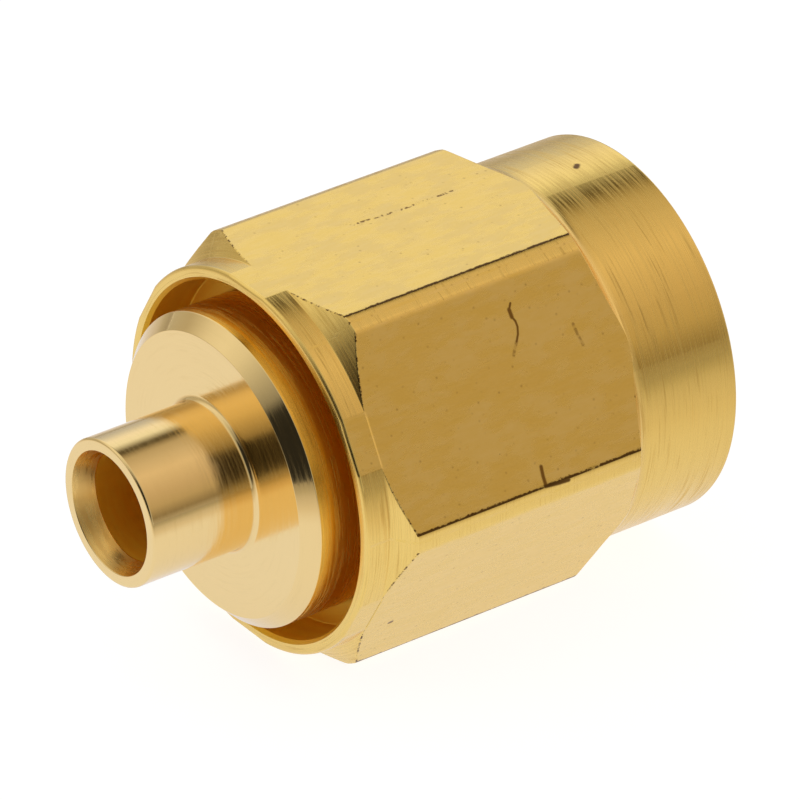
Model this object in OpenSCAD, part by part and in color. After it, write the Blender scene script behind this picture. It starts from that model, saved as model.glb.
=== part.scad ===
// Straight SMA plug for direct soldering to a thin semi-rigid coaxial cable.
// Lies on one flat of its coupling nut. The cable side points to -X, the mating side to +X.
// The origin is on the connector's axis, in the mating reference plane (the end of the sleeve).

/* [Output] */
// Which sub-part to show

/* [Coupling nut, outside] */
// Hexagon, across flats
hex_af = 8.0; // [6:0.1:12]
// Diameter that the six hexagon corners are turned down to
corner_d = 9.03; // [7:0.01:13]
// Whole length of the nut
nut_l = 9.15; // [6:0.05:14]
// Diameter of the turned rim at the rear, a hair over the flats
rim_d = 8.04; // [6:0.01:12]
// Length of the rear rim's cylinder
rim_l = 0.56; // [0.2:0.01:2]
// Axial length of the rear corner chamfer
rear_cone_l = 0.34; // [0.1:0.01:1]
// Diameter of the plain round barrel in front of the hexagon
barrel_d = 7.96; // [6:0.01:12]
// Length of the barrel up to the start of its fillet
barrel_l = 2.33; // [1:0.01:5]
// Angle of the front corner chamfer, from the nut's end face
front_cone_a = 30; // [15:1:45]
// Radius of the fillet between barrel and front chamfer
barrel_fillet_r = 0.3; // [0.1:0.05:0.6]
// Broken edge on the nut's outer rims
nut_edge_l = 0.06; // [0.02:0.01:0.2]

/* [Coupling nut, inside] */
// Diameter of the open pocket behind the bearing bore
pocket_d = 7.48; // [6:0.01:11]
// Depth of that pocket
pocket_l = 1.0; // [0.5:0.05:3]
// Chamfer at the pocket's mouth
pocket_chamfer_l = 0.08; // [0.02:0.01:0.3]
// Gap, each side, between the body's shank and the bearing bore
running_gap = 0.05; // [0.02:0.01:0.1]
// Length of the bearing bore, with its lead cone
bearing_l = 1.3; // [0.8:0.05:3]
// Depth of the lead cone that squeezes the snap ring on assembly
lead_h = 0.24; // [0.1:0.01:0.5]
// Length of that cone
lead_l = 0.4; // [0.1:0.05:1]
// Depth of the internal groove for the snap ring
nut_groove_h = 0.42; // [0.2:0.01:0.8]
// Length of the land in front of that groove
front_land_l = 0.5; // [0.2:0.05:1.5]
// Length of the relief between that land and the thread
relief_l = 1.04; // [0.3:0.01:3]
// Depth of the relief below the thread
relief_h = 0.1; // [0.05:0.01:0.4]
// Major diameter of the 1/4-36 thread
thread_d = 6.35; // [6:0.01:7]
// Lead-in chamfer of the thread
thread_chamfer_l = 0.3; // [0.1:0.05:0.6]

/* [Plug body] */
// Outside of the solder tube
tube_d = 3.10; // [2:0.01:5]
// Length of the solder tube behind the flange
tube_l = 2.45; // [1:0.05:8]
// Diameter of the countersunk mouth of the tube
mouth_d = 2.60; // [1.5:0.01:4.5]
// Depth of the countersink
mouth_l = 0.45; // [0.2:0.01:2]
// Bore for the cable's outer conductor
cable_d = 2.26; // [1:0.01:4]
// Broken edges of the tube's rim
tube_edge_l = 0.03; // [0.01:0.01:0.1]
// Fillet between tube and flange
tube_fillet_r = 0.12; // [0.05:0.01:0.4]
// Flange diameter
flange_d = 6.57; // [5:0.01:9]
// Flange thickness
flange_l = 1.70; // [0.5:0.05:4]
// Chamfer on the flange's rear edge
flange_chamfer_l = 0.30; // [0.1:0.01:0.8]
// How far the flange's face stands behind the nut's rear rim
flange_out_l = 0.85; // [0:0.01:3]
// Shank that the nut turns on
shank_d = 5.92; // [4.8:0.01:8]
// Depth of the snap ring's groove
body_groove_h = 0.56; // [0.3:0.01:1]
// Length of the land between that groove and the gasket's seat
body_land_l = 0.54; // [0.2:0.01:1.5]
// Broken edges of shank and sleeve
body_edge_l = 0.08; // [0.02:0.01:0.2]
// Outside of the mating sleeve
sleeve_d = 4.58; // [4.5:0.01:4.6]
// Wall of the sleeve
sleeve_wall = 0.23; // [0.15:0.01:0.4]
// How far the nut's front stands ahead of the mating plane
mate_recess_l = 2.90; // [2:0.05:4]
// Throat between cable bore and insulator
throat_d = 1.80; // [1:0.01:3]
// Length of that throat
throat_l = 0.80; // [0.3:0.05:2]

/* [Snap ring] */
// Thickness along the axis
ring_t = 0.50; // [0.3:0.01:1]
// Width of its section
ring_w = 0.67; // [0.4:0.01:1]
// Gap, all round, between the ring and the nut's groove
ring_gap = 0.03; // [0.01:0.01:0.1]
// Width of the slot that lets it close
ring_slot_w = 2.1; // [1:0.05:3]
// Rounding of its edges
ring_edge_r = 0.08; // [0.02:0.01:0.2]
// Travel of the nut and ring along the body, each way
nut_float_l = 0.15; // [0.05:0.01:0.3]

/* [Gasket, insulator and contact] */
// Width of the gasket's section
gasket_w = 0.41; // [0.3:0.01:0.5]
// Thickness of the gasket
gasket_l = 0.90; // [0.5:0.05:1.5]
// Rounding of the gasket's edges
gasket_edge_r = 0.12; // [0.05:0.01:0.3]
// How far the insulator starts ahead of the flange's front face
insulator_in_l = 0.35; // [0.1:0.05:2]
// Diameter of the contact inside the insulator
contact_d = 1.27; // [1:0.01:1.5]
// Diameter of the mating pin
pin_d = 0.925; // [0.9:0.005:0.95]
// How far the pin stands ahead of the mating plane
pin_l = 2.0; // [1.2:0.05:2.5]
// Length of the pin's tapered tip
pin_tip_l = 0.36; // [0.1:0.01:0.8]
// How far the contact's shoulder stays behind the mating plane
shoulder_back_l = 0.05; // [0:0.01:0.25]
// Height of the collar that holds the contact in the insulator
collar_h = 0.18; // [0.1:0.01:0.4]
// Length of that collar
collar_l = 0.40; // [0.2:0.05:1]
// How far the collar lies inside the insulator
collar_in_l = 1.20; // [0.5:0.05:3]
// How far the solder cup stands back in the throat
cup_back_l = 0.70; // [0.2:0.05:2]
// Diameter of the solder cup's bore
cup_d = 0.54; // [0.3:0.01:1]
// Depth of the solder cup's bore
cup_l = 1.6; // [0.5:0.05:3]
// Diameter of the inspection hole into the solder cup
sight_d = 0.36; // [0.1:0.01:0.6]
// Place of that hole from the cup's rim
sight_in_l = 0.42; // [0.2:0.01:1]

/* [Hidden] */
$fn = 96;
gold = [0.84, 0.67, 0.34];
deep_gold = [0.80, 0.60, 0.25];
white_ptfe = [0.93, 0.93, 0.91];
silicone_red = [0.70, 0.19, 0.09];
bronze = [0.72, 0.50, 0.28];
eps = 1;

// Along the axis, counted from the mating plane
nut_x1 = mate_recess_l;
nut_x0 = mate_recess_l - nut_l;
flange_x0 = nut_x0 - flange_out_l;
flange_x1 = flange_x0 + flange_l;
tube_x0 = flange_x0 - tube_l;
insulator_x0 = flange_x1 + insulator_in_l;
throat_x0 = insulator_x0 - throat_l;

// The ring lies in the middle of its play in both grooves
nut_groove_x0 = nut_x0 + pocket_l + bearing_l;
ring_x0 = nut_groove_x0 + ring_gap;
ring_x1 = ring_x0 + ring_t;
nut_groove_x1 = ring_x1 + ring_gap;
body_groove_x0 = ring_x0 - nut_float_l;
body_groove_x1 = ring_x1 + nut_float_l;
seat_x = body_groove_x1 + body_land_l;
relief_x0 = nut_groove_x1 + front_land_l;
thread_x0 = relief_x0 + relief_l;

// Radii that fit one another
bearing_r = shank_d / 2 + running_gap;
nut_groove_r = bearing_r + nut_groove_h;
ring_outer_r = nut_groove_r - ring_gap;
ring_inner_r = ring_outer_r - ring_w;
bore_r = sleeve_d / 2 - sleeve_wall;

// Corner between barrel and front chamfer, and the two tangent points of its fillet
fillet_turn = 90 - front_cone_a;
fillet_t = barrel_fillet_r * tan(fillet_turn / 2);
barrel_x0 = nut_x1 - barrel_l;
barrel_corner_x = barrel_x0 - fillet_t;
front_cone_x = barrel_corner_x - (corner_d - barrel_d) / 2 * tan(front_cone_a);

// Turns a profile of [radius, axial place] points about the connector's axis
module turned() {
    rotate([0, 90, 0]) rotate_extrude() children();
}

// Profile of a ring of material with rounded edges
module rounded_section(r0, r1, x0, x1, r) {
    translate([r0 + r, x0]) square([r1 - r0 - 2 * r, x1 - x0]);
    translate([r0, x0 + r]) square([r1 - r0, x1 - x0 - 2 * r]);
    for (a = [r0 + r, r1 - r], b = [x0 + r, x1 - r]) translate([a, b]) circle(r);
}

// Fill between a wall square to the axis on the +X side and a cylinder of radius r0
module corner_fill(r0, x1, r) {
    difference() {
        translate([r0 - r / 2, x1 - r]) square([r * 3 / 2, r * 3 / 2]);
        translate([r0 + r, x1 - r]) circle(r);
    }
}

// What the lathe leaves of the hexagon bar: rim, two chamfers, turned corners and barrel
module nut_blank_profile() {
    rr = rim_d / 2;
    cr = corner_d / 2;
    br = barrel_d / 2;
    difference() {
        polygon([
            [0, nut_x0], [rr - nut_edge_l, nut_x0], [rr, nut_x0 + nut_edge_l],
            [rr, nut_x0 + rim_l], [cr, nut_x0 + rim_l + rear_cone_l],
            [cr, front_cone_x],
            [br + fillet_t * sin(fillet_turn), barrel_corner_x - fillet_t * cos(fillet_turn)],
            [br, barrel_x0], [br, nut_x1 - nut_edge_l], [br - nut_edge_l, nut_x1], [0, nut_x1]
        ]);
        translate([br + barrel_fillet_r, barrel_x0]) circle(barrel_fillet_r);
    }
}

// Pocket, bearing bore, ring groove, land, relief and threaded bore, as one stepped hole
module nut_hole_profile() {
    pr = pocket_d / 2;
    tr = thread_d / 2;
    polygon([
        [0, nut_x0 - eps], [pr + pocket_chamfer_l, nut_x0 - eps],
        [pr + pocket_chamfer_l, nut_x0], [pr, nut_x0 + pocket_chamfer_l],
        [pr, nut_x0 + pocket_l], [bearing_r + lead_h, nut_x0 + pocket_l],
        [bearing_r, nut_x0 + pocket_l + lead_l], [bearing_r, nut_groove_x0],
        [nut_groove_r, nut_groove_x0], [nut_groove_r, nut_groove_x1],
        [bearing_r, nut_groove_x1], [bearing_r, relief_x0],
        [tr + relief_h, relief_x0], [tr + relief_h, thread_x0],
        [tr, thread_x0], [tr, nut_x1 - thread_chamfer_l],
        [tr + thread_chamfer_l, nut_x1], [tr + thread_chamfer_l, nut_x1 + eps],
        [0, nut_x1 + eps]
    ]);
}

module coupling_nut() {
    color(gold)
    difference() {
        intersection() {
            turned() nut_blank_profile();
            translate([nut_x0 - eps, 0, 0]) rotate([0, 90, 0]) rotate([0, 0, 30])
                cylinder(d = hex_af / cos(30), h = nut_l + 2 * eps, $fn = 6);
        }
        turned() nut_hole_profile();
    }
}

// One turned piece: solder tube, flange, shank with ring groove, gasket seat and sleeve
module plug_body() {
    tr = tube_d / 2;
    fr = flange_d / 2;
    hr = shank_d / 2;
    sr = sleeve_d / 2;
    te = tube_edge_l;
    be = body_edge_l;
    color(gold)
    difference() {
        turned() union() {
            polygon([
                [0, tube_x0], [tr - te, tube_x0], [tr, tube_x0 + te],
                [tr, flange_x0], [fr - flange_chamfer_l, flange_x0],
                [fr, flange_x0 + flange_chamfer_l], [fr, flange_x1 - be],
                [fr - be, flange_x1], [hr, flange_x1],
                [hr, body_groove_x0], [hr - body_groove_h, body_groove_x0],
                [hr - body_groove_h, body_groove_x1], [hr, body_groove_x1],
                [hr, seat_x - be], [hr - be, seat_x],
                [sr, seat_x], [sr, -be], [sr - be, 0], [0, 0]
            ]);
            corner_fill(tr, flange_x0, tube_fillet_r);
        }
        turned() polygon([
            [0, tube_x0 - eps], [mouth_d / 2, tube_x0 - eps], [mouth_d / 2, tube_x0],
            [cable_d / 2, tube_x0 + mouth_l], [cable_d / 2, throat_x0],
            [throat_d / 2, throat_x0], [throat_d / 2, insulator_x0],
            [bore_r, insulator_x0], [bore_r, eps], [0, eps]
        ]);
    }
}

// Spring ring that holds nut and body together, with its slot at the top
module snap_ring() {
    color(bronze)
    difference() {
        turned() rounded_section(ring_inner_r, ring_outer_r, ring_x0, ring_x1, ring_edge_r);
        translate([ring_x0 - ring_t, -ring_slot_w / 2, 0])
            cube([3 * ring_t, ring_slot_w, 2 * ring_outer_r]);
    }
}

module gasket() {
    color(silicone_red)
    turned() rounded_section(sleeve_d / 2, sleeve_d / 2 + gasket_w, seat_x, seat_x + gasket_l,
        gasket_edge_r);
}

// Plastic bead that centres the contact, with a groove for the contact's collar
module insulator() {
    color(white_ptfe)
    turned() difference() {
        translate([contact_d / 2, insulator_x0]) square([bore_r - contact_d / 2, -insulator_x0]);
        translate([0, insulator_x0 + collar_in_l]) square([contact_d / 2 + collar_h, collar_l]);
    }
}

// Centre contact: solder cup, collar and mating pin
module center_contact() {
    cr = contact_d / 2;
    pr = pin_d / 2;
    cup_x0 = insulator_x0 - cup_back_l;
    collar_x0 = insulator_x0 + collar_in_l;
    color(deep_gold)
    difference() {
        turned() polygon([
            [0, cup_x0], [cr, cup_x0], [cr, collar_x0],
            [cr + collar_h, collar_x0], [cr + collar_h, collar_x0 + collar_l],
            [cr, collar_x0 + collar_l], [cr, -shoulder_back_l], [pr, -shoulder_back_l],
            [pr, pin_l - pin_tip_l], [pr * 0.72, pin_l - pin_tip_l * 0.45],
            [pr * 0.36, pin_l - pin_tip_l * 0.1], [pr * 0.24, pin_l], [0, pin_l]
        ]);
        translate([cup_x0 - cup_l, 0, 0]) rotate([0, 90, 0]) cylinder(d = cup_d, h = 2 * cup_l);
        translate([cup_x0 + sight_in_l, 0, 0]) cylinder(d = sight_d, h = contact_d);
    }
}

coupling_nut();
plug_body();
snap_ring();
gasket();
insulator();
center_contact();
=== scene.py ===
# %% [markdown]
# # A gold-plated coaxial plug
#
# The part is a small straight plug for high-frequency cable. A hexagonal coupling nut turns freely on
# a turned body, and a short tube at the rear of the body is soldered to a thin cable. Its solids come
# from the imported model, so this lesson is about fine surfaces and finishes: how a lathe-turned and
# plated piece gets crisp eased edges, tool marks and reflections that read as gold.

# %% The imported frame
import math

import bpy
import numpy as np
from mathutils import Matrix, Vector


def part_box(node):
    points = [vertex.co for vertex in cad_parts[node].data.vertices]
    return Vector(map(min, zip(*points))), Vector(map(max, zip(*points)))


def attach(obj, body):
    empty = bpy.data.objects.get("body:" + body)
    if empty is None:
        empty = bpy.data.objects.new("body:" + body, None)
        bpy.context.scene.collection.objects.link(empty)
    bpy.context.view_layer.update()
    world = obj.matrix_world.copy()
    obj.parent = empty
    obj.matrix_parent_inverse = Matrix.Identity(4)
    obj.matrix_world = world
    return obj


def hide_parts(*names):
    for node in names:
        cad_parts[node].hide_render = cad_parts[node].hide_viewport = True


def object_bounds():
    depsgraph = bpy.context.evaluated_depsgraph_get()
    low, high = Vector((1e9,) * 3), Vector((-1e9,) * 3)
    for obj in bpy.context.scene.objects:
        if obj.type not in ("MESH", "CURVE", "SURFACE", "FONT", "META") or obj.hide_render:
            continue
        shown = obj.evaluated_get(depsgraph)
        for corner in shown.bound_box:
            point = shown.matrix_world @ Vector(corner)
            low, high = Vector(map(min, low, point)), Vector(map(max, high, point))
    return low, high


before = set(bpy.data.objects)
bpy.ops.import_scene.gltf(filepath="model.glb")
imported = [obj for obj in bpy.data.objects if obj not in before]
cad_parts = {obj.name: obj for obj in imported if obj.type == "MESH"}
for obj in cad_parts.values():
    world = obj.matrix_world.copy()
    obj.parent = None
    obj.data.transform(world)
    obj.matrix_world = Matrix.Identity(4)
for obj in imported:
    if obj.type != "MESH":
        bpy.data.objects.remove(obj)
cad_lo, cad_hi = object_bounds()
mm = 0.001


def box_mm(node):
    """Lowest and highest corner of a node at rest, in millimetres."""
    lo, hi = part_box(node)
    return np.array(lo) / mm, np.array(hi) / mm


# %% [markdown]
# ## The driving sizes
#
# Everything sits on the X axis: the cable side is at -X and the mating side at +X. The boxes of the
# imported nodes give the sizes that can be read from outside. The sizes of steps inside the pieces are
# written here in millimetres, as they are in the solids, so that a piece made here stands where its
# solid stands, to a few hundredths of a millimetre.

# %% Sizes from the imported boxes, and the steps inside
nut_lo, nut_hi = box_mm("coupling_nut")
body_lo, body_hi = box_mm("plug_body")
gasket_lo, gasket_hi = box_mm("gasket")
bead_lo, bead_hi = box_mm("insulator")
ring_lo, ring_hi = box_mm("snap_ring")

nut_x0, nut_x1 = nut_lo[0], nut_hi[0]
flat_r = nut_hi[2]
corner_r = nut_hi[1]
rim_r = 4.04
rim_l = 0.56
rear_cone_l = 0.34
barrel_r = 3.98
barrel_l = 2.33
barrel_fillet_r = 0.50
solid_fillet_r = 0.30
front_cone_slope = math.tan(math.radians(30))
barrel_corner_x = nut_x1 - barrel_l - solid_fillet_r * front_cone_slope

pocket_r = 3.74
pocket_l = 1.00
pocket_chamfer_l = 0.08
bearing_r = 3.01
lead_l = 0.40
lead_h = 0.24
nut_groove_gap = 0.03
nut_groove_r = ring_hi[1] + nut_groove_gap
nut_groove_x0 = ring_lo[0] - nut_groove_gap
nut_groove_x1 = ring_hi[0] + nut_groove_gap
front_land_l = 0.50
relief_l = 1.04
relief_h = 0.10
thread_r = 3.175
thread_chamfer_l = 0.30

tube_x0 = body_lo[0]
tube_r = 1.55
tube_l = 2.45
tube_fillet_r = 0.12
mouth_r = 1.30
mouth_l = 0.45
cable_r = 1.13
flange_r = body_hi[1]
flange_l = 1.70
flange_chamfer_l = 0.30
shank_r = 2.96
body_groove_r = 2.40
sleeve_r = 2.29
sleeve_bore_r = bead_hi[1]
throat_r = 0.90
throat_l = 0.80
flange_x0 = tube_x0 + tube_l
flange_x1 = flange_x0 + flange_l
seat_x = gasket_lo[0]
body_groove_gap = 0.15
body_groove_x0 = ring_lo[0] - body_groove_gap
body_groove_x1 = ring_hi[0] + body_groove_gap
bead_x0 = bead_lo[0]
bead_bore_r = 0.635
collar_r = bead_bore_r + 0.18
collar_x0 = bead_x0 + 1.20
collar_l = 0.40
gasket_edge_r = 0.12
print(f"nut {nut_x0:.2f} to {nut_x1:.2f} mm, flats {2 * flat_r:.2f} mm, corners {2 * corner_r:.2f} mm")

# %% [markdown]
# ## The camera
#
# The plug is seen from its cable end, a little from the left and from well above. A long lens from
# about 18 cm keeps the hexagon's edges nearly parallel, as close-up product pictures do. The camera
# looks along a line through a point near the middle of the plug, with no roll and no lens shift.

# %% A long lens from the cable side
camera_at = np.array([-93.25, -124.41, 93.27])
aim_at = np.array([-2.743, -0.313, 0.319])
camera_data = bpy.data.cameras.new("camera")
camera_data.sensor_width = 36.0
camera_data.lens = 406.6
camera_data.clip_start = 10 * mm
camera_data.clip_end = 2.0
camera = bpy.data.objects.new("camera", camera_data)
bpy.context.collection.objects.link(camera)


def aim(thing, place, target):
    """Puts a camera at place and turns its -Z axis to target, with its Y axis as near to up as it goes."""
    thing.location = Vector(place * mm)
    thing.rotation_mode = "QUATERNION"
    thing.rotation_quaternion = Vector(target - place).to_track_quat("-Z", "Y")


aim(camera, camera_at, aim_at)
bpy.context.scene.camera = camera
bpy.context.scene.view_settings.view_transform = "Standard"
print("camera to plug", round(float(np.linalg.norm(camera_at - aim_at)), 1), "mm")

# %% [markdown]
# ## Shader nodes in few words
#
# Every finish below is a small node tree. Two helpers keep the trees readable: one adds a node and
# fills or links its sockets by name, and one opens a node group with named sockets, so that an effect
# such as tool marks is built once and used in several materials.

# %% Helpers for nodes and node groups


def add(tree, kind, values=None, **settings):
    """Adds a shader node. A socket's value is either set, or linked where it is another node's socket."""
    made = tree.nodes.new("ShaderNode" + kind)
    for key, value in settings.items():
        setattr(made, key, value)
    for key, value in (values or {}).items():
        if isinstance(value, bpy.types.NodeSocket):
            tree.links.new(value, made.inputs[key])
        else:
            made.inputs[key].default_value = value
    return made


def calc(tree, operation, *values):
    """One Math node on up to three numbers or sockets, and its result."""
    return add(tree, "Math", dict(enumerate(values)), operation=operation).outputs[0]


def in_mm(tree, vector):
    """A position in millimetres from one in metres."""
    return add(tree, "VectorMath", {0: vector, 3: 1 / mm}, operation="SCALE").outputs[0]


def remap(tree, value, low, high, to_low=0.0, to_high=1.0, smooth=True):
    """Carries value from the range low..high to the range to_low..to_high, with soft ends."""
    kind = "SMOOTHSTEP" if smooth else "LINEAR"
    sockets = {"Value": value, "From Min": low, "From Max": high, "To Min": to_low, "To Max": to_high}
    return add(tree, "MapRange", sockets, interpolation_type=kind).outputs[0]


def blend_colour(tree, factor, first, second):
    """Mixes two colours by factor: 0 gives the first and 1 the second."""
    made = add(tree, "Mix", data_type="RGBA")
    made.inputs[0].default_value = 0.5
    for slot, value in zip((0, 6, 7), (factor, first, second)):
        if isinstance(value, bpy.types.NodeSocket):
            tree.links.new(value, made.inputs[slot])
        else:
            made.inputs[slot].default_value = value
    return made.outputs[2]


def new_group(name, inputs, outputs):
    """An empty node group with named sockets; returns its tree, its input node and its output node."""
    tree = bpy.data.node_groups.new(name, "ShaderNodeTree")
    for label, kind, default in inputs:
        socket = tree.interface.new_socket(label, in_out="INPUT", socket_type="NodeSocket" + kind)
        if default is not None:
            socket.default_value = default
    for label, kind in outputs:
        tree.interface.new_socket(label, in_out="OUTPUT", socket_type="NodeSocket" + kind)
    return tree, tree.nodes.new("NodeGroupInput"), tree.nodes.new("NodeGroupOutput")


def place_group(tree, group, values):
    """Places a node group in a material and sets or links its inputs by name."""
    return add(tree, "Group", values, node_tree=group)


# %% [markdown]
# ## Floor and studio
#
# A polished metal shows its room more than itself. The room here is a soft white tent with the usual
# pieces round the axis of the plug: a bright top light a little behind, a warmer front card, and two
# dark gaps, one at the horizon and one between the front card and the top light. They give a turned
# surface the long light and dark bands that read as polished metal. The tent is the world's colour as
# a function of one angle, which goes round the plug's axis, so it costs no lamps and has no noise.

# %% The tent round the plug
world = bpy.data.worlds.new("tent")
bpy.context.scene.world = world
world.use_nodes = True
sky = world.node_tree
sky.nodes.clear()

# Angle round the axis in degrees (0 is the front, 90 up, 180 the back) and the light's colour there,
# first on the mating side of the plug, then on the camera's side
FAR_SIDE = [
    (-20, (0.78, 0.78, 0.80)),
    (-4, (0.52, 0.49, 0.46)),
    (7, (0.28, 0.23, 0.16)),
    (22, (0.51, 0.42, 0.30)),
    (40, (0.61, 0.50, 0.39)),
    (70, (0.78, 0.66, 0.55)),
    (88, (0.66, 0.57, 0.48)),
    (105, (0.52, 0.45, 0.36)),
    (112, (0.32, 0.27, 0.20)),
    (117, (0.12, 0.10, 0.07)),
    (122, (0.13, 0.11, 0.08)),
    (128, (0.48, 0.48, 0.46)),
    (136, (0.93, 0.96, 1.00)),
    (150, (0.98, 0.99, 1.06)),
    (166, (0.66, 0.68, 0.76)),
    (180, (0.50, 0.51, 0.55)),
]
NEAR_SIDE = [
    (-20, (0.80, 0.80, 0.82)),
    (100, (0.84, 0.82, 0.78)),
    (138, (0.87, 0.86, 0.86)),
    (150, (0.80, 0.78, 0.76)),
    (167, (0.50, 0.46, 0.40)),
    (180, (0.52, 0.50, 0.46)),
]
# The tent's opening, where the camera and the dark room behind it show: the direction of its middle,
# and the share of the cloth's light that is left at a number of degrees from there
OPENING = (-0.72, -0.55, 0.42)
OPENING_SHARE = [(0, 0.03), (24, 0.03), (29, 0.36), (38, 0.55), (47, 0.72), (57, 0.90), (70, 1.0)]
MATING_END = (0.86, 0.77, 0.78, 1.0)
CABLE_END = (0.12, 0.10, 0.08, 1.0)


def lay_stops(ramp, stops):
    """Puts (place from 0 to 1, colour) stops on a colour ramp."""
    while len(ramp.elements) < len(stops):
        ramp.elements.new(0.5)
    for element, (place, colour) in zip(ramp.elements, stops):
        element.position = place
        element.color = (*colour, 1.0)


def round_axis(place, stops):
    """The ramp's colour for a place of 0 to 1 round the axis, where 0.5 is the front."""
    ramp = add(sky, "ValToRGB", {0: place})
    lay_stops(ramp.color_ramp, [((angle + 180) / 360, colour) for angle, colour in stops])
    return ramp.outputs[0]


def paint_tent():
    """World colour by direction d.

    The angle atan2(z, -y) picks a colour from each side's ramp, and x blends the two and then the two
    ends. The opening's share of light depends on the angle between d and its middle, arccos(d . middle).
    The camera sees plain white.
    """
    d = add(sky, "TexCoord").outputs["Generated"]
    part = add(sky, "SeparateXYZ", {0: d})
    angle = calc(sky, "ARCTAN2", part.outputs[2], calc(sky, "MULTIPLY", part.outputs[1], -1.0))
    place = calc(sky, "MULTIPLY_ADD", angle, 1 / math.tau, 0.5)
    near = round_axis(place, NEAR_SIDE)
    cloth = blend_colour(sky, remap(sky, part.outputs[0], -0.2, 0.35), near, round_axis(place, FAR_SIDE))
    cloth = blend_colour(sky, remap(sky, part.outputs[0], 0.75, 0.99), cloth, MATING_END)
    cloth = blend_colour(sky, remap(sky, part.outputs[0], -0.88, -0.96), cloth, CABLE_END)
    middle = add(sky, "VectorMath", {0: d, 1: OPENING}, operation="DOT_PRODUCT").outputs["Value"]
    away = calc(sky, "DIVIDE", calc(sky, "DEGREES", calc(sky, "ARCCOSINE", middle)), 90.0)
    share = add(sky, "ValToRGB", {0: away})
    lay_stops(share.color_ramp, [(angle / 90, (left, left, left)) for angle, left in OPENING_SHARE])
    light = add(sky, "VectorMath", {0: cloth, 1: share.outputs[0]}, operation="MULTIPLY").outputs[0]
    seen = blend_colour(sky, add(sky, "LightPath").outputs["Is Camera Ray"], light, (1.0, 1.0, 1.0, 1.0))
    surface = add(sky, "Background", {"Color": seen, "Strength": 1.0})
    sky.links.new(surface.outputs[0], add(sky, "OutputWorld").inputs[0])


paint_tent()
print("tent with", len(FAR_SIDE) + len(NEAR_SIDE), "stops")

# %% The floor
FLOOR_R = 600.0


def make_floor():
    """A disc on which the lowest flat lies: rings of points at growing radii, at angles a round it."""
    radii = np.array([0.0, 5.0, 10.0, 20.0, 50.0, 150.0, FLOOR_R])
    a = np.linspace(0, math.tau, 96, endpoint=False)
    ring = np.stack([np.cos(a), np.sin(a), np.zeros_like(a)], axis=1)
    points = radii[1:, None, None] * ring[None]
    points = np.concatenate([np.zeros((1, 3)), points.reshape(-1, 3)])
    points[:, 2] = cad_lo[2] / mm
    n = len(a)
    faces = [(0, 1 + i, 1 + (i + 1) % n) for i in range(n)]
    for ring_index in range(len(radii) - 2):
        low = 1 + ring_index * n
        faces += [(low + i, low + n + i, low + n + (i + 1) % n, low + (i + 1) % n) for i in range(n)]
    mesh = bpy.data.meshes.new("floor")
    mesh.from_pydata((points * mm).tolist(), [], faces)
    floor = bpy.data.objects.new("floor", mesh)
    bpy.context.collection.objects.link(floor)
    return floor


# Distance in millimetres from the brightest place, beside the cable end, and the paper's own light there
POOL_AT = (-9.0, 1.0, 0.0)
POOL = [(0, (0.68, 0.72, 0.85)), (12, (0.67, 0.69, 0.78)), (19, (0.55, 0.52, 0.50)),
        (26, (0.47, 0.44, 0.42)), (55, (0.29, 0.27, 0.22)), (120, (0.20, 0.18, 0.15))]


def floor_paper():
    """White paper. Camera and reflections see it glow, with the plug's shadow kept; reflections see a painted
    pool of light that fades with distance from POOL_AT.
    """
    paper = bpy.data.materials.new("floor_paper")
    paper.use_nodes = True
    tree = paper.node_tree
    tree.nodes.clear()
    path = add(tree, "LightPath")
    place = in_mm(tree, add(tree, "TexCoord").outputs["Object"])
    level = add(tree, "VectorMath", {0: place, 1: (1.0, 1.0, 0.0)}, operation="MULTIPLY")
    away = add(tree, "VectorMath", {0: level.outputs[0], 1: POOL_AT}, operation="DISTANCE").outputs["Value"]
    pool = add(tree, "ValToRGB", {0: calc(tree, "DIVIDE", away, 120.0)})
    lay_stops(pool.color_ramp, [(distance / 120, colour) for distance, colour in POOL])
    seen_colour = blend_colour(tree, path.outputs["Is Camera Ray"], pool.outputs[0], (0.87, 0.87, 0.87, 1))
    lit = add(tree, "BsdfDiffuse", {"Color": (0.82, 0.82, 0.82, 1)})
    pale = add(tree, "BsdfDiffuse", {"Color": (0.34, 0.34, 0.34, 1)})
    glow = add(tree, "Emission", {"Color": seen_colour, "Strength": 1.0})
    both = add(tree, "AddShader", {0: pale.outputs[0], 1: glow.outputs[0]})
    seen = calc(tree, "MAXIMUM", path.outputs["Is Camera Ray"], path.outputs["Is Glossy Ray"])
    seen = calc(tree, "MAXIMUM", seen, path.outputs["Is Transmission Ray"])
    mix = add(tree, "MixShader", {0: seen, 1: lit.outputs[0], 2: both.outputs[0]})
    tree.links.new(mix.outputs[0], add(tree, "OutputMaterial").inputs[0])
    return paper


floor = make_floor()
floor.data.materials.append(floor_paper())
print("floor at z", round(float(cad_lo[2] / mm), 3), "mm")

# %% [markdown]
# ## Paths with eased corners
#
# A turned piece is one outline carried round the axis. On a real lathe part no corner is perfectly
# sharp: each has a tiny radius, and that radius is what catches a thin line of light. So an outline is
# written as a few corner points with a radius for each, and a function replaces each corner by an arc.

# %% Easing the corners of an outline
EASE_STEPS = 3


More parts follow.
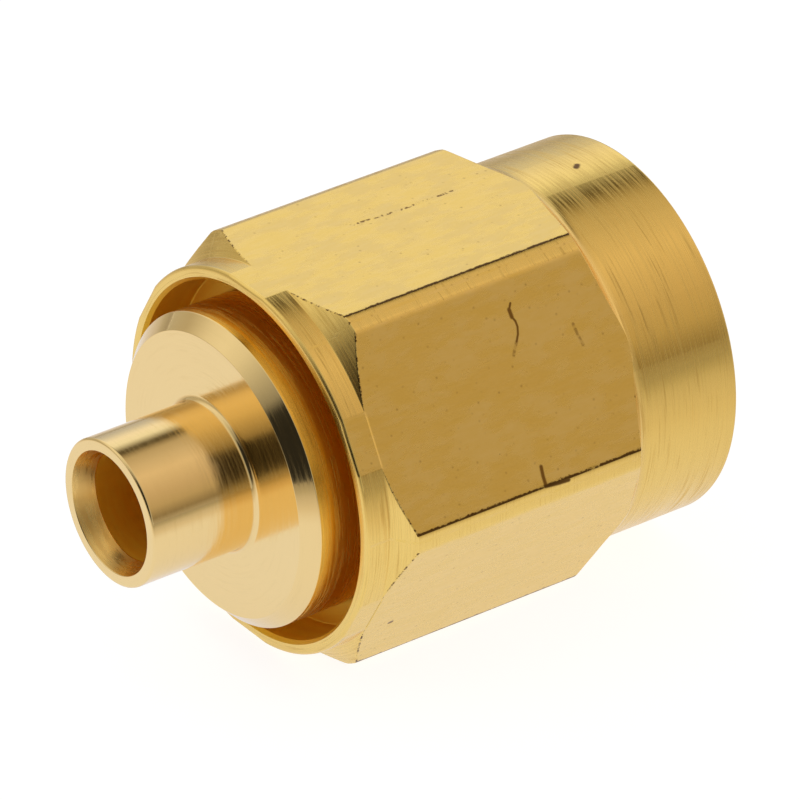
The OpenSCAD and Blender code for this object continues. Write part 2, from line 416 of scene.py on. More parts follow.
def eased(points, radii, steps=EASE_STEPS):
    """Closed outlines with rounded corners.

    points is (outlines, corners, 2). At a corner the path turns by an angle t. The arc begins
    radius * tan(t / 2) before the corner, limited to 0.45 of the shorter side, and its points are the
    arc's start turned about its centre by equal shares of t. A radius of 0 leaves the point as it is.
    """
    before = points - np.roll(points, 1, axis=1)
    after = np.roll(points, -1, axis=1) - points
    length_before = np.linalg.norm(before, axis=2)
    length_after = np.linalg.norm(after, axis=2)
    d1 = before / np.maximum(length_before, 1e-12)[..., None]
    d2 = after / np.maximum(length_after, 1e-12)[..., None]
    turn = np.arctan2(d1[..., 0] * d2[..., 1] - d1[..., 1] * d2[..., 0], (d1 * d2).sum(axis=2))
    half = np.maximum(np.tan(np.abs(turn) / 2), 1e-6)
    reach = np.minimum(np.asarray(radii) * half, 0.45 * np.minimum(length_before, length_after))
    radius = reach / half
    side = np.sign(turn)
    normal = np.stack([-d1[..., 1] * side, d1[..., 0] * side], axis=2)
    centre = points - d1 * reach[..., None] + normal * radius[..., None]
    columns = []
    for corner, r in enumerate(radii):
        if r == 0:
            columns.append(points[:, corner:corner + 1])
            continue
        share = turn[:, corner, None] * np.linspace(0, 1, steps + 1)
        c, s = np.cos(share), np.sin(share)
        n = normal[:, corner, None]
        turned = np.stack([n[..., 0] * c - n[..., 1] * s, n[..., 0] * s + n[..., 1] * c], axis=2)
        columns.append(centre[:, corner, None] - turned * radius[:, corner, None, None])
    return np.concatenate(columns, axis=1)


def corner_rows(radii):
    """The grid row where each corner begins: an eased corner takes EASE_STEPS + 1 rows, a sharp one 1."""
    return np.cumsum([0] + [EASE_STEPS + 1 if radius else 1 for radius in radii])


def outline(*corners):
    """Splits (x, r, easing radius) corners into the two arrays that eased() takes."""
    table = np.array(corners)
    return table[None, :, :2], table[:, 2]


# %% [markdown]
# ## From a grid of points to a mesh
#
# A surface here is a numpy grid: one direction goes round the axis and the other along the outline.
# Both directions close on themselves, so a hollow turned piece is a closed ring of faces with nothing
# to cap. The shading normals are the mean of the faces round a point, weighted by their area. A big
# flat face then keeps its own normal up to its edge, and only the small easing arcs shade round.

# %% Grid to mesh


def quads(rows, columns, wrap_rows=True):
    """Corner numbers of the faces between neighbours on a grid whose columns close into a loop."""
    i = np.arange(rows if wrap_rows else rows - 1)
    i, j = np.meshgrid(i, np.arange(columns), indexing="ij")
    i2, j2 = (i + 1) % rows, (j + 1) % columns
    corners = [i * columns + j, i2 * columns + j, i2 * columns + j2, i * columns + j2]
    return np.stack(corners, axis=-1).reshape(-1, 4)


def volume(points, faces):
    """Signed volume: a third of the sum over faces of the centre times the area vector."""
    a, b, c, d = (points[faces[:, k]] for k in range(4))
    area = np.cross(c - a, d - b) / 2
    return float(((a + b + c + d) / 4 * area).sum() / 3)


def smooth_normals(mesh):
    """Point normals as the sum of the touching faces' normals times their areas, made unit length."""
    count = len(mesh.polygons)
    normals, areas = np.empty(count * 3), np.empty(count)
    totals = np.empty(count, dtype=np.int32)
    corners = np.empty(len(mesh.loops), dtype=np.int32)
    mesh.polygons.foreach_get("normal", normals)
    mesh.polygons.foreach_get("area", areas)
    mesh.polygons.foreach_get("loop_total", totals)
    mesh.loops.foreach_get("vertex_index", corners)
    weighted = np.repeat(normals.reshape(-1, 3) * areas[:, None], totals, axis=0)
    sums = np.zeros((len(mesh.vertices), 3))
    np.add.at(sums, corners, weighted)
    sums /= np.maximum(np.linalg.norm(sums, axis=1), 1e-30)[:, None]
    mesh.normals_split_custom_set_from_vertices(sums.tolist())


def build(name, points, faces, body, slot, nodes=(), materials=(), face_material=None, caps=()):
    """Makes the object from points in mm and quads, smooth shaded, and ties it to its body; its slot is not
    used.
    """
    if volume(points, faces) < 0:
        faces = faces[:, ::-1]
        caps = [cap[::-1] for cap in caps]
    mesh = bpy.data.meshes.new(name)
    mesh.from_pydata(points * mm, [], faces.tolist() + [list(cap) for cap in caps])
    mesh.polygons.foreach_set("use_smooth", np.ones(len(mesh.polygons), dtype=bool))
    for material in materials:
        mesh.materials.append(material)
    if face_material is not None:
        mesh.polygons.foreach_set("material_index", face_material.astype(np.int32))
    mesh.update()
    smooth_normals(mesh)
    piece = bpy.data.objects.new(name, mesh)
    bpy.context.collection.objects.link(piece)
    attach(piece, body)
    if nodes:
        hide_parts(*nodes)
    print(f"{name}: {len(mesh.polygons)} faces, {abs(volume(points, faces)):.2f} mm3")
    return piece


def turned(path, segments=288):
    """Points and faces of an (x, r) outline carried round the X axis: y is -r cos a and z is r sin a."""
    a = np.linspace(0, math.tau, segments, endpoint=False)[:, None]
    x, r = path[..., 0], path[..., 1]
    grid = np.stack(np.broadcast_arrays(x, -r * np.cos(a), r * np.sin(a)), axis=-1)
    return grid.reshape(-1, 3), quads(*grid.shape[:2])


# %% [markdown]
# ## Tool marks and plating
#
# Gold plating is thin, so it copies whatever the machine left under it. Turned surfaces carry fine
# rings and short scratches: noise that changes fast along the outline and slowly round the axis. Using
# the point's direction from the axis, and not an angle, keeps the rings free of a seam. Milled flats
# carry a soft grain along the bar and a scatter of tiny pits.

# %% Rings from the lathe


def noise(tree, vector, lay, detail=2.0, roughness=0.5):
    """Noise of a position multiplied by lay, which is how often it changes per millimetre along each axis."""
    place = add(tree, "VectorMath", {0: vector, 1: lay}, operation="MULTIPLY").outputs[0]
    values = {"Vector": place, "Scale": 1.0, "Detail": detail, "Roughness": roughness}
    return add(tree, "TexNoise", values).outputs[0]


def turning_marks():
    """Height, scratches and rings by noise at ((x + r) * fineness, y / r * run, z / r * run).

    Here r is the distance from the axis.
    """
    tree, given, out = new_group(
        "turning_marks",
        [("Vector", "Vector", None), ("Fineness", "Float", 30.0), ("Run", "Float", 2.0)],
        [("Height", "Float"), ("Scratch", "Float"), ("Ring", "Float")],
    )
    part = add(tree, "SeparateXYZ", {0: in_mm(tree, given.outputs["Vector"])})
    across = add(tree, "CombineXYZ", {1: part.outputs[1], 2: part.outputs[2]}).outputs[0]
    r = add(tree, "VectorMath", {0: across}, operation="LENGTH").outputs["Value"]
    r = calc(tree, "MAXIMUM", r, 0.01)
    share = calc(tree, "DIVIDE", given.outputs["Run"], r)
    way = add(tree, "VectorMath", {0: across, 3: share}, operation="SCALE")
    along = calc(tree, "MULTIPLY", calc(tree, "ADD", part.outputs[0], r), given.outputs["Fineness"])
    sides = add(tree, "SeparateXYZ", {0: way.outputs[0]})
    spot = add(tree, "CombineXYZ", {0: along, 1: sides.outputs[1], 2: sides.outputs[2]}).outputs[0]
    fine = noise(tree, spot, (1.0, 1.0, 1.0), 3.0, 0.6)
    thin = noise(tree, spot, (0.50, 1.9, 1.9), 1.0)
    patch = noise(tree, spot, (0.05, 1.3, 1.3))
    ring = noise(tree, spot, (0.55, 0.8, 0.8), 3.0, 0.7)
    scratch = calc(tree, "MULTIPLY", remap(tree, thin, 0.54, 0.68), remap(tree, patch, 0.35, 0.60))
    tree.links.new(calc(tree, "MULTIPLY_ADD", scratch, -0.8, fine), out.inputs["Height"])
    tree.links.new(scratch, out.inputs["Scratch"])
    tree.links.new(remap(tree, ring, 0.36, 0.64), out.inputs["Ring"])
    return tree


# %% Grain of the milled flats


def milled_grain():
    """Height and mottle: noise stretched along X for the cutter's path, plus even noise for the plating."""
    tree, given, out = new_group(
        "milled_grain",
        [("Vector", "Vector", None)],
        [("Height", "Float"), ("Line", "Float"), ("Mottle", "Float")],
    )
    point = in_mm(tree, given.outputs["Vector"])
    line = noise(tree, point, (1.8, 8.0, 8.0), 4.0, 0.65)
    even = noise(tree, point, (13.0, 17.0, 17.0), 2.0, 0.6)
    cloud = noise(tree, point, (1.1, 2.2, 2.2), 5.0, 0.65)
    tree.links.new(calc(tree, "MULTIPLY_ADD", even, 1.0, line), out.inputs["Height"])
    tree.links.new(remap(tree, line, 0.40, 0.64), out.inputs["Line"])
    tree.links.new(remap(tree, cloud, 0.38, 0.64), out.inputs["Mottle"])
    return tree


# %% Pits in the plating


def plating_pits():
    """A mask of small round spots: the distance to scattered points, where a cell's own number is low."""
    tree, given, out = new_group(
        "plating_pits",
        [("Vector", "Vector", None), ("Density", "Float", 3.0),
         ("Size", "Float", 0.08), ("Share", "Float", 0.3)],
        [("Pit", "Float")],
    )
    point = in_mm(tree, given.outputs["Vector"])
    cells = add(tree, "TexVoronoi", {"Vector": point, "Scale": given.outputs["Density"]})
    pick = add(tree, "SeparateXYZ", {0: cells.outputs["Color"]})
    near = remap(tree, cells.outputs["Distance"], 0.0, given.outputs["Size"], 1.0, 0.0)
    chosen = calc(tree, "LESS_THAN", pick.outputs[0], given.outputs["Share"])
    depth = calc(tree, "MULTIPLY", calc(tree, "MULTIPLY", near, chosen), pick.outputs[1])
    tree.links.new(depth, out.inputs["Pit"])
    return tree


# %% [markdown]
# ## Wear on the nut
#
# This nut has been handled: there is a hooked scratch and a few nicks on the flat that faces the front,
# a row of pits on the top flat and a nick on the barrel. Each mark is a thin stroke between two points
# in the nut's own millimetres, so it stays in place when the nut turns.

# %% Strokes and nicks
# Each path is x along the bar and the height on its flat, in millimetres
HOOK = [(-1.80, 1.56), (-1.87, 1.45), (-1.86, 1.30), (-1.81, 1.20),
        (-1.80, 1.08), (-1.84, 0.94), (-1.92, 0.81)]
HOOK_END = [(-1.92, 0.81), (-2.00, 0.70), (-2.08, 0.57)]
NICK = [(-0.56, 0.74), (-0.53, 0.51), (-0.48, 0.29)]
NOTCH = [(-2.23, -1.67), (-2.25, -1.85), (-2.25, -2.06), (-1.95, -2.10), (-1.70, -2.12)]
PIT_ROW = [(-3.24, 0.72), (-2.05, 0.63), (-0.77, 0.635)]
SPECK = [(-5.04, -0.72), (-4.98, -0.72)]


def on_flat(angle, x, t):
    """A point at height t on the flat that faces angle: flat_r * (-cos, sin) plus t * (sin, cos), in mm."""
    c, s = math.cos(math.radians(angle)), math.sin(math.radians(angle))
    return (x, -flat_r * c + t * s, flat_r * s + t * c)


def stroke(tree, point, start, end, width):
    """A mask of 1 on the line from start to end, falling to 0 at width from it.

    The nearest place on the line is at the share (p - start) . (end - start) / |end - start| squared.
    """
    start, way = np.array(start), np.array(end) - np.array(start)
    offset = add(tree, "VectorMath", {0: point, 1: start}, operation="SUBTRACT").outputs[0]
    share = add(tree, "VectorMath", {0: offset, 1: way / (way @ way)}, operation="DOT_PRODUCT")
    share = add(tree, "Clamp", {0: share.outputs["Value"]}).outputs[0]
    nearest = add(tree, "VectorMath", {0: tuple(way), 3: share}, operation="SCALE").outputs[0]
    away = add(tree, "VectorMath", {0: offset, 1: nearest}, operation="DISTANCE").outputs["Value"]
    return remap(tree, away, width * 0.35, width, 1.0, 0.0)


def strokes(tree, point, angle, path, width):
    """The strokes between one path's neighbouring points, on the flat that faces angle."""
    ends = [on_flat(angle, *place) for place in path]
    return [stroke(tree, point, start, end, width) for start, end in zip(ends, ends[1:])]


def wear_marks():
    """The largest of all strokes at a point; the row of pits is broken up by noise."""
    tree, given, out = new_group("wear_marks", [("Vector", "Vector", None)], [("Mark", "Float")])
    point = in_mm(tree, given.outputs["Vector"])
    marks = strokes(tree, point, 30, HOOK, 0.036)
    marks += strokes(tree, point, 30, HOOK[1:3], 0.065)
    marks += strokes(tree, point, 30, NOTCH, 0.06)
    broken = remap(tree, noise(tree, point, (9.0, 9.0, 9.0)), 0.46, 0.60)
    faint = strokes(tree, point, 30, NICK, 0.05) + strokes(tree, point, 30, HOOK_END, 0.05)
    marks += [calc(tree, "MULTIPLY", mark, calc(tree, "MULTIPLY_ADD", broken, 0.35, 0.2)) for mark in faint]
    marks += [calc(tree, "MULTIPLY", mark, broken) for mark in strokes(tree, point, 90, PIT_ROW, 0.045)]
    marks += strokes(tree, point, -30, SPECK, 0.06)
    marks.append(stroke(tree, point, (1.81, -0.03, barrel_r), (1.88, 0.03, barrel_r), 0.09))
    total = marks[0]
    for mark in marks[1:]:
        total = calc(tree, "MAXIMUM", total, mark)
    tree.links.new(total, out.inputs["Mark"])
    return tree


marks_group = turning_marks()
grain_group = milled_grain()
pits_group = plating_pits()
wear_group = wear_marks()
print("groups", [f"{g.name}: {len(g.nodes)} nodes" for g in bpy.data.node_groups])

# %% [markdown]
# ## The gold finishes
#
# All the gold is one metal: a Metallic surface with a warm base colour. What differs is the skin. A
# turned surface scatters light across its rings, along the axis, and hardly round them: that is what
# Anisotropic does, with a tangent that runs round X. The flats are satin, with grain, pits and burred
# edges, whose shade is painted along them as a dark line. Inside a bore the light has met gold several
# times and comes out a deep orange, and that orange is painted into the bore's base colour.

# %% Gold on turned surfaces
GOLD = (0.94, 0.655, 0.185, 1.0)
PALE_GOLD = (0.94, 0.69, 0.30, 1.0)
DEEP_GOLD = (0.66, 0.40, 0.08, 1.0)
# Dark colour for wear marks, and for the painted shade along the burred edges of the flats
DARK_WEAR_AND_BURR_SHADE = (0.16, 0.08, 0.02, 1.0)


def new_material(name, **values):
    """A material, its tree, its Principled shader with constant values, and object coordinates."""
    material = bpy.data.materials.new(name)
    material.use_nodes = True
    tree = material.node_tree
    shader = tree.nodes["Principled BSDF"]
    for key, value in values.items():
        shader.inputs[key.replace("_", " ")].default_value = value
    return material, tree, shader, add(tree, "TexCoord").outputs["Object"]


def turned_gold(name, colour, fineness, rough, bump, scratches, spread=0.85):
    """Finely ridged gold: each ring's roughness is from rough[0] to rough[1], and scratches are darker."""
    material, tree, shader, place = new_material(
        name, Metallic=1.0, Anisotropic=spread, Anisotropic_Rotation=0.25)
    marks = place_group(tree, marks_group, {"Vector": place, "Fineness": fineness, "Run": 1.6})
    wear = place_group(tree, wear_group, {"Vector": place})
    dull = blend_colour(tree, calc(tree, "MULTIPLY", marks.outputs["Scratch"], scratches), colour, DEEP_GOLD)
    tree.links.new(blend_colour(tree, wear.outputs["Mark"], dull, DARK_WEAR_AND_BURR_SHADE), shader.inputs["Base Color"])
    skin = remap(tree, marks.outputs["Ring"], 0.0, 1.0, *rough, smooth=False)
    skin = calc(tree, "MULTIPLY_ADD", marks.outputs["Scratch"], 0.5 * scratches, skin)
    tree.links.new(skin, shader.inputs["Roughness"])
    ridges = add(tree, "Bump", {"Height": marks.outputs["Height"], "Strength": bump, "Distance": 0.001 * mm})
    tree.links.new(ridges.outputs[0], shader.inputs["Normal"])
    round_x = add(tree, "Tangent", direction_type="RADIAL", axis="X")
    tree.links.new(round_x.outputs[0], shader.inputs["Tangent"])
    return material


nut_turned = turned_gold("nut_turned_gold", GOLD, 46.0, (0.10, 0.34), 1.0, 0.30)
body_polished = turned_gold("body_polished_gold", PALE_GOLD, 36.0, (0.07, 0.17), 0.25, 0.06)
body_side = turned_gold("body_side_gold", (0.92, 0.54, 0.08, 1.0), 36.0, (0.14, 0.30), 0.5, 0.2)
mouth_satin = turned_gold("mouth_satin_gold", (0.88, 0.58, 0.18, 1.0), 24.0, (0.22, 0.34), 0.3, 0.1, 0.2)

# %% Deep gold inside bores, with painted light of repeated reflections


def bore_painted_bounce_gold():
    """Deep orange gold with faint rings, partly diffuse, so that it fills with the light in a bore; the deep
    orange is painted light, standing in for light reflected many times inside the bore.
    """
    material, tree, shader, place = new_material(
        "bore_painted_bounce_gold", Metallic=0.5, Roughness=0.42, Specular_IOR_Level=0.1)
    marks = place_group(tree, marks_group, {"Vector": place, "Fineness": 12.0, "Run": 1.6})
    # Painted light: this deep orange stands in for light reflected many times inside the bore
    colour = blend_colour(tree, marks.outputs["Ring"], (0.98, 0.61, 0.05, 1), (0.96, 0.56, 0.04, 1))
    tree.links.new(colour, shader.inputs["Base Color"])
    return material


bore = bore_painted_bounce_gold()

# %% Satin gold on the flats


def satin_gold():
    """Mottled and grained gold with darker pits and wear marks, and painted shade of burrs, a dark line where
    the attribute is high.
    """
    material, tree, shader, place = new_material("nut_satin_gold", Metallic=1.0)
    grain = place_group(tree, grain_group, {"Vector": place})
    pits = place_group(tree, pits_group, {"Vector": place, "Density": 5.5, "Size": 0.24, "Share": 0.70})
    wear = place_group(tree, wear_group, {"Vector": place})
    # Painted shade: a dark line along the burred edges of the flats, broken up by the grain
    edge = add(tree, "Attribute", attribute_name="burr_shade").outputs["Fac"]
    edge = calc(tree, "ADD", edge, calc(tree, "MULTIPLY_ADD", grain.outputs["Height"], 1.3, -1.3))
    edge = remap(tree, edge, 0.45, 0.80)
    lines = calc(tree, "MULTIPLY", grain.outputs["Line"], 0.35)
    tone = calc(tree, "MULTIPLY_ADD", grain.outputs["Mottle"], 0.65, lines)
    mottled = blend_colour(tree, tone, (0.92, 0.632, 0.16, 1), (0.955, 0.68, 0.225, 1))
    dark = calc(tree, "MAXIMUM", calc(tree, "MULTIPLY", pits.outputs["Pit"], 0.45), wear.outputs["Mark"])
    pitted = blend_colour(tree, dark, mottled, (0.27, 0.14, 0.03, 1))
    tree.links.new(blend_colour(tree, edge, pitted, DARK_WEAR_AND_BURR_SHADE), shader.inputs["Base Color"])
    tree.links.new(remap(tree, grain.outputs["Mottle"], 0, 1, 0.24, 0.32), shader.inputs["Roughness"])
    height = calc(tree, "MULTIPLY_ADD", dark, -2.0, grain.outputs["Height"])
    bumps = add(tree, "Bump", {"Height": height, "Strength": 0.6, "Distance": 0.002 * mm})
    tree.links.new(bumps.outputs[0], shader.inputs["Normal"])
    return material


nut_satin = satin_gold()
print("gold materials", len(bpy.data.materials) - 1)

# %% [markdown]
# ## The coupling nut
#
# The real nut starts as hexagon bar. The lathe turns its corners off, a rim and a cone at the rear,
# and a cone and a round barrel in front, so each flat ends in the curved edges that a cone cuts into a
# hexagon. A boolean would leave ragged triangles along those curves. Here every angle round the axis
# has its own outline: the flat's distance at that angle says where the cones start, so the curved
# edges are lines of the grid.

# %% The nut's section and outlines
EDGE_EASE = 0.04
EDGE_ANGLE = math.degrees(math.acos(flat_r / corner_r))
RIM_ANGLE = math.degrees(math.acos(flat_r / rim_r))


def section_radii():
    """Each column's angle, its angle from the flat's middle, and its radius.

    The radius is the smaller of flat_r / cos(angle from the middle) and the turned corner.
    """
    step = np.array([0.0, 0.15, 0.3, 0.5, 0.75, 1.0])
    near = np.concatenate([EDGE_ANGLE - step[::-1], EDGE_ANGLE + step[1:]])
    flat = np.linspace(-EDGE_ANGLE + 2.0, EDGE_ANGLE - 2.0, 25)
    local = np.sort(np.concatenate([-near, flat, near, [30.0, 29.2, -29.2, RIM_ANGLE, -RIM_ANGLE]]))
    angle = (local[None] + 60.0 * np.arange(6)[:, None] + 30.0).ravel()
    local = np.tile(local, 6)
    flat_at = flat_r / np.cos(np.radians(local))
    gap = np.maximum(EDGE_EASE - np.abs(flat_at - corner_r), 0) / EDGE_EASE
    radius = np.minimum(flat_at, corner_r) - gap**2 * EDGE_EASE / 4
    return np.radians(angle), local, radius


column_angle, column_local, column_r = section_radii()
print(len(column_r), "columns round the nut, corners turned to", round(float(column_r.max()), 3), "mm")


def nut_outlines():
    """One closed (x, r) outline for each column, and each point's share of painted burr shade.

    The rear cone rises from the rim to the column's radius. The front cone falls from it to the fillet,
    or meets the fillet's arc directly where the flat is lower than the cone's foot: the arc's start
    angle is the arccosine of (barrel + fillet - radius) / fillet, at most 60 degrees.
    """
    r = column_r
    rim = np.minimum(rim_r, r)
    cone_x = nut_x0 + rim_l + np.maximum(r - rim_r, 0) * rear_cone_l / (corner_r - rim_r) + 0.002
    widest = math.radians(60)
    barrel_x0 = barrel_corner_x + barrel_fillet_r * math.tan(widest / 2)
    foot_r = barrel_r + barrel_fillet_r * (1 - math.cos(widest))
    foot_x = barrel_x0 - barrel_fillet_r * math.sin(widest)
    low = np.minimum(r, foot_r)
    start = np.arccos((barrel_r + barrel_fillet_r - low) / barrel_fillet_r)
    low_x = barrel_x0 - barrel_fillet_r * np.sin(start)
    shoulder_x = np.where(r > foot_r, foot_x - (r - foot_r) * front_cone_slope, low_x - 0.002)
    support = 0.045
    ones = np.ones_like(r)
    arc = start[:, None] * np.linspace(1, 0, 9)[None]
    cone_share = support / np.maximum(np.hypot(cone_x - nut_x0 - rim_l, r - rim), support * 2)
    # The last value in each row is how much painted burr shade, a dark line, lies along that edge of the
    # flats
    outer = [
        (nut_x0 * ones, (pocket_r + pocket_chamfer_l) * ones, 0.02, 0),
        (nut_x0 * ones, rim, 0.08, 0),
        (nut_x0 + rim_l * ones, rim, EDGE_EASE, 0),
        (cone_x - (cone_x - nut_x0 - rim_l) * cone_share, r - (r - rim) * cone_share, 0, 0),
        (cone_x, r, EDGE_EASE, 0.55),
        (cone_x + support, r, 0, 0),
        (shoulder_x - support, r, 0, 0),
        (shoulder_x, r, EDGE_EASE, 0.35),
    ]
    for a in arc.T:
        fillet_r = barrel_r + barrel_fillet_r * (1 - np.cos(a))
        outer.append((barrel_x0 - barrel_fillet_r * np.sin(a), fillet_r, 0, 0))
    outer += [(nut_x1 * ones, barrel_r * ones, 0.06, 0)]
    thread_x0 = nut_groove_x1 + front_land_l + relief_l
    inner = [
        (nut_x1, thread_r + thread_chamfer_l, 0.03),
        (nut_x1 - thread_chamfer_l, thread_r, 0.03),
        (thread_x0, thread_r, 0.02),
        (thread_x0, thread_r + relief_h, 0.02),
        (nut_groove_x1 + front_land_l, thread_r + relief_h, 0.03),
        (nut_groove_x1 + front_land_l, bearing_r, 0.03),
        (nut_groove_x1, bearing_r, 0.02),
        (nut_groove_x1, nut_groove_r, 0.02),
        (nut_groove_x0, nut_groove_r, 0.02),
        (nut_groove_x0, bearing_r, 0.02),
        (nut_x0 + pocket_l + lead_l, bearing_r, 0.02),
        (nut_x0 + pocket_l, bearing_r + lead_h, 0.03),
        (nut_x0 + pocket_l, pocket_r, 0.04),
        (nut_x0 + pocket_chamfer_l, pocket_r, 0.02),
    ]
    rows = outer + [(x * ones, radius * ones, ease, 0) for x, radius, ease in inner]
    points = np.stack([np.stack([x, radius], axis=1) for x, radius, _, _ in rows], axis=1)
    eases = np.array([ease for _, _, ease, _ in rows])
    burr_shade = np.repeat([b for _, _, _, b in rows], np.diff(corner_rows(eases)))
    return eased(points, eases), burr_shade, eases


def make_nut():
    """Each column's outline at its angle: satin gold with painted burr shade on the flats, deep gold with
    painted light of repeated reflections inside, turned elsewhere.
    """
    path, burr_shade, eases = nut_outlines()
    a = column_angle[:, None]
    x, r = path[..., 0], path[..., 1]
    grid = np.stack([x, -r * np.cos(a), r * np.sin(a)], axis=-1)
    faces = quads(*grid.shape[:2])
    rim_front, cone_top, fillet, thread_edge = corner_rows(eases)[[2, 4, 8, 19]]
    row = np.arange(len(faces)) % grid.shape[1]
    column = np.arange(len(faces)) // grid.shape[1]
    local = np.abs(column_local + np.roll(column_local, -1))[column] / 2
    flat_start = np.where(local < RIM_ANGLE, rim_front - 1, cone_top)
    flat = (local < EDGE_ANGLE + 0.01) & (row < fillet) & (row >= flat_start)
    inside = row >= thread_edge - 1
    piece = build("nut_shell", grid.reshape(-1, 3), faces, "nut", "nut_gold", ["coupling_nut"],
                  [nut_turned, nut_satin, bore], flat * 1 + inside * 2)
    # Painted shade: a dark line along the same side edge of each flat, between the cones
    low_edge_shade = np.clip(1.1 - np.abs(column_local + EDGE_ANGLE - 0.2) / 0.9, 0, 1)
    along = (np.arange(grid.shape[1]) >= cone_top) & (np.arange(grid.shape[1]) < fillet)
    above_rim = (column_r > rim_r + 0.003)[:, None]
    value = np.maximum(burr_shade[None, :] * above_rim, low_edge_shade[:, None] * along[None, :])
    layer = piece.data.attributes.new("burr_shade", "FLOAT", "POINT")
    layer.data.foreach_set("value", value.ravel().astype(np.float32))
    return piece


nut = make_nut()

# %% [markdown]
# ## The nut's thread
#
# The thread is a ridge of 60 degrees with a flat crest, wound 36 turns to the inch. It is the
# ridge's cross-section carried along a helix, with the height running out to nothing at both ends as
# it does where a real tool enters and leaves.

# %% A ridge on a helix
PITCH = 25.4 / 36
RIDGE_H = 0.54127 * PITCH


def make_thread():
    """Six points at each angle b: x is the start plus pitch * b / one turn, y is r cos b and z is r sin b."""
    x_start = nut_groove_x1 + front_land_l + relief_l + 0.25
    x_end = nut_x1 - thread_chamfer_l - 0.05
    turns = (x_end - x_start) / PITCH
    b = np.linspace(0, turns * math.tau, int(turns * 120))[:, None]
    ends = np.clip(np.minimum(b, b[-1] - b) / 0.5, 0.02, 1.0)
    half_root, half_crest = PITCH * 7 / 16, PITCH / 8
    offset = np.array([-half_root, -half_root, -half_crest, half_crest, half_root, half_root])[None]
    depth = np.array([-0.03, 0.0, RIDGE_H, RIDGE_H, 0.0, -0.03])[None]
    depth = np.where(depth > 0, depth * ends, depth)
    x = x_start + PITCH * b / math.tau + np.broadcast_to(offset, depth.shape)
    r = thread_r - depth
    grid = np.stack([x, r * np.cos(b), r * np.sin(b)], axis=-1)
    rows, columns = grid.shape[:2]
    faces = quads(rows, columns, wrap_rows=False)
    caps = [range(columns), range(rows * columns - 1, (rows - 1) * columns - 1, -1)]
    return build("nut_thread", grid.reshape(-1, 3), faces, "nut", "nut_gold", (), [nut_turned], None, caps)


thread = make_thread()

# %% [markdown]
# ## The plug body
#
# The body is one turned piece: a thin solder tube with a countersunk mouth, a wide flange with a big
# chamfer, a shank with the groove for the snap ring, and the thin sleeve that the mating jack slides
# over. It is one closed outline carried round the axis.

# %% The body's outline


def make_body():
    """Outside from the tube's rim to the sleeve's end, then back through the bores, as one closed outline."""
    corners = [
        (tube_x0, mouth_r, 0.02), (tube_x0, tube_r, 0.06),
        (flange_x0, tube_r, tube_fillet_r), (flange_x0, flange_r - flange_chamfer_l, 0.02),
        (flange_x0 + flange_chamfer_l, flange_r, 0.05), (flange_x1, flange_r, 0.06),
        (flange_x1, shank_r, 0.03), (body_groove_x0, shank_r, 0.02),
        (body_groove_x0, body_groove_r, 0.03), (body_groove_x1, body_groove_r, 0.03),
        (body_groove_x1, shank_r, 0.02), (seat_x, shank_r, 0.06),
        (seat_x, sleeve_r, 0.02), (0.0, sleeve_r, 0.06),
        (0.0, sleeve_bore_r, 0.03), (bead_x0, sleeve_bore_r, 0.02),
        (bead_x0, throat_r, 0.03), (bead_x0 - throat_l, throat_r, 0.02),
        (bead_x0 - throat_l, cable_r, 0.05), (tube_x0 + mouth_l, cable_r, 0.06),
    ]
    points, faces = turned(eased(*outline(*corners)))
    first = corner_rows([ease for _, _, ease in corners])
    flange_front, shank, sleeve_bore, mouth_foot = first[[5, 6, 15, 19]]
    row = np.arange(len(faces)) % first[-1]
    mouth = row == first[-1] - 1
    inside = (row >= sleeve_bore - 1) & (row < mouth_foot)
    side = (row >= flange_front - 2) & (row < shank)
    return build("body_shell", points, faces, "plug", "body_gold", ["plug_body"],
                 [body_polished, mouth_satin, bore, body_side], mouth * 1 + inside * 2 + side * 3)


body = make_body()

# %% [markdown]
# ## Gasket, bead, contact and ring
#
# A red silicone ring seals the plug against the jack. A white PTFE bead holds the centre contact, and
# a collar on the contact locks into a groove in it. Both are turned rings: silicone is soft, with wide
# round edges and a dull skin that lets a little light in, and PTFE is milky, with faint tool rings.

# %% Silicone and PTFE


def silicone():
    """Dull red rubber that lets a little light in; even noise makes its skin uneven."""
    material, tree, shader, place = new_material(
        "red_silicone", Base_Color=(0.50, 0.05, 0.025, 1), Roughness=0.45, Subsurface_Weight=0.15,
        Subsurface_Scale=0.2 * mm, Specular_IOR_Level=0.4)
    skin = noise(tree, in_mm(tree, place), (9.0, 9.0, 9.0), 4.0, 0.6)
    tree.links.new(remap(tree, skin, 0.3, 0.7, 0.38, 0.55), shader.inputs["Roughness"])
    bumps = add(tree, "Bump", {"Height": skin, "Strength": 0.4, "Distance": 0.006 * mm})
    tree.links.new(bumps.outputs[0], shader.inputs["Normal"])
    return material


def ptfe():
    """Milky white plastic with faint rings."""
    material, tree, shader, place = new_material(
        "white_ptfe", Base_Color=(0.86, 0.86, 0.83, 1), Roughness=0.38, Subsurface_Weight=0.3,
        Subsurface_Scale=0.3 * mm, Specular_IOR_Level=0.35)
    marks = place_group(tree, marks_group, {"Vector": place, "Fineness": 14.0, "Run": 1.0})
    rings = add(tree, "Bump", {"Height": marks.outputs["Height"], "Strength": 0.5, "Distance": 0.002 * mm})
    tree.links.new(rings.outputs[0], shader.inputs["Normal"])
    tree.links.new(remap(tree, marks.outputs["Ring"], 0.0, 1.0, 0.34, 0.44), shader.inputs["Roughness"])
    return material


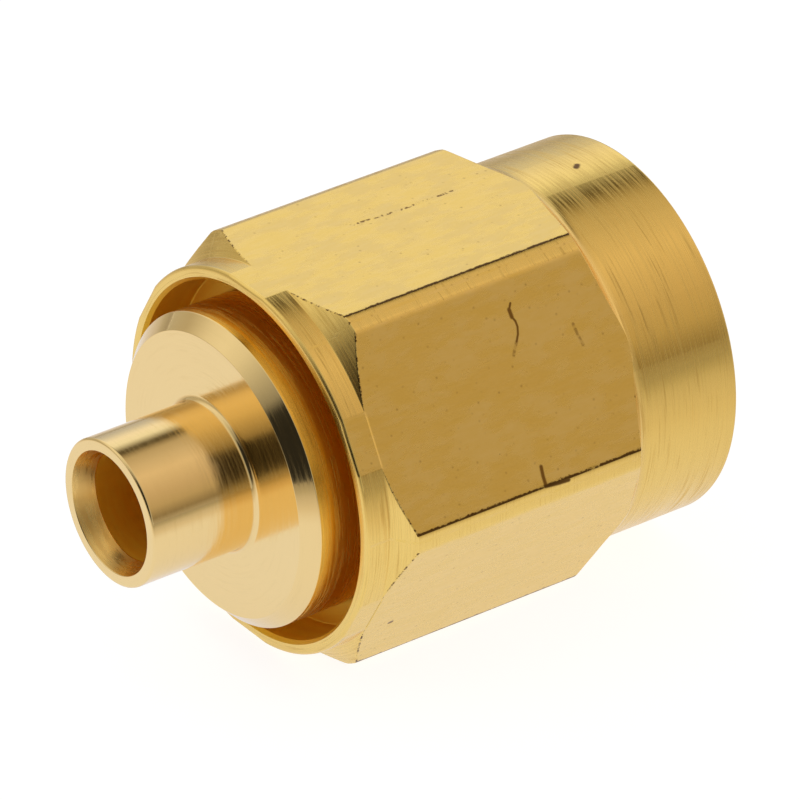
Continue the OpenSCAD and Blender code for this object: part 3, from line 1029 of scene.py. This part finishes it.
def make_ring(name, corners, node, slot, material, steps=3):
    """A closed ring of one material on the body, from its (x, r, easing radius) corners."""
    path = eased(*outline(*corners), steps=steps)
    return build(name, *turned(path, 192), "plug", slot, [node], [material])


gasket_corners = [
    (gasket_lo[0], sleeve_r, gasket_edge_r), (gasket_lo[0], gasket_hi[1], gasket_edge_r),
    (gasket_hi[0], gasket_hi[1], gasket_edge_r), (gasket_hi[0], sleeve_r, gasket_edge_r),
]
bead_corners = [
    (bead_x0, bead_bore_r, 0.02), (bead_x0, sleeve_bore_r, 0.04),
    (bead_hi[0], sleeve_bore_r, 0.04), (bead_hi[0], bead_bore_r, 0.04),
    (collar_x0 + collar_l, bead_bore_r, 0.0), (collar_x0 + collar_l, collar_r, 0.0),
    (collar_x0, collar_r, 0.0), (collar_x0, bead_bore_r, 0.0),
]
gasket = make_ring("gasket_ring", gasket_corners, "gasket", "gasket_silicone", silicone(), 8)
bead = make_ring("bead", bead_corners, "insulator", "insulator_ptfe", ptfe())

# %% [markdown]
# ## Contact and snap ring
#
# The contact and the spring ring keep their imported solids, since a sight hole and a slot cut through
# them. The contact is beryllium copper under bright gold. The ring is bare bronze, browner and duller,
# with the coarse marks of drawn wire.

# %% Bright contact and bare bronze
contact_gold = turned_gold("contact_gold", GOLD, 30.0, (0.08, 0.18), 0.3, 0.1)


def bronze():
    """Bare bronze: a brown metal, darker and rougher in its bands."""
    material, tree, shader, place = new_material("bare_bronze", Metallic=1.0)
    marks = place_group(tree, marks_group, {"Vector": place, "Fineness": 20.0, "Run": 1.0})
    colour = blend_colour(tree, marks.outputs["Ring"], (0.62, 0.36, 0.16, 1), (0.36, 0.20, 0.09, 1))
    tree.links.new(colour, shader.inputs["Base Color"])
    tree.links.new(remap(tree, marks.outputs["Height"], 0.2, 0.8, 0.25, 0.5), shader.inputs["Roughness"])
    return material


for node, material in (("center_contact", contact_gold), ("snap_ring", bronze())):
    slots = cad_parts[node].data.materials
    slots.clear()
    slots.append(material)
    print(node, "wears", material.name)
